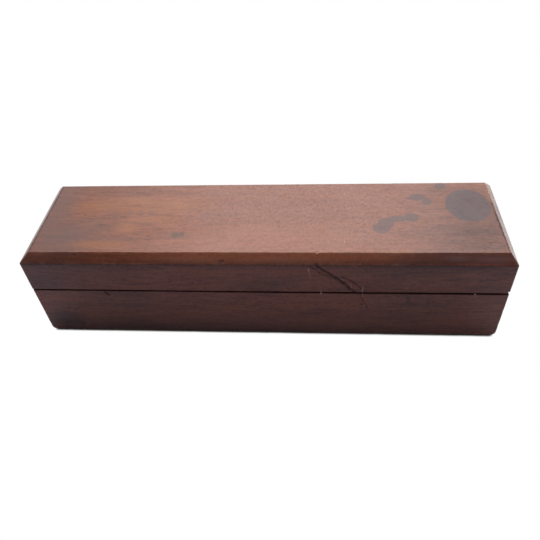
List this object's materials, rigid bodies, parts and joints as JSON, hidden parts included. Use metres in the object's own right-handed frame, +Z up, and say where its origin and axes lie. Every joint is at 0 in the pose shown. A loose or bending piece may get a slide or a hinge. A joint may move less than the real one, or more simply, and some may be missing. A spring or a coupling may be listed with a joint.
{
  "type": "cased sharpening stone",
  "caption": "Bench sharpening stone with a coarse and a fine face, kept in a two-part bevelled hardwood case with a lift-off lid.",
  "frame": {"origin": "on the bench top under the middle of the case, at the height of the steel points' tips", "axes": "+X along the case, +Z up out of the bench top, in the direction the lid lifts"},
  "size_m": [0.254, 0.0636, 0.0613],
  "materials": {
    "mahogany": "old oiled mahogany, worn at the edges, with dark oil stains",
    "end_grain_hardwood": "oil-soaked end grain",
    "fine_abrasive": "smooth fine-grit abrasive, slightly dished and stained with swarf",
    "coarse_abrasive": "grainy coarse-grit abrasive",
    "steel": "cropped and filed wire brads, dull"
  },
  "bodies": {
    "base": {"base_block": "mahogany", "end_block_left": "end_grain_hardwood", "end_block_right": "end_grain_hardwood", "bench_points": "steel"},
    "stone": {"coarse_grit_layer": "coarse_abrasive", "fine_grit_layer": "fine_abrasive"},
    "lid": {"lid_block": "mahogany"}
  },
  "joints": [
    {"name": "stone_lift", "type": "slide", "parent": "base", "child": "stone", "axis": [0, 0, 1], "range_m": [0, 0.04]},
    {"name": "lid_lift", "type": "slide", "parent": "stone", "child": "lid", "axis": [0, 0, 1], "range_m": [0, 0.075]}
  ]
}
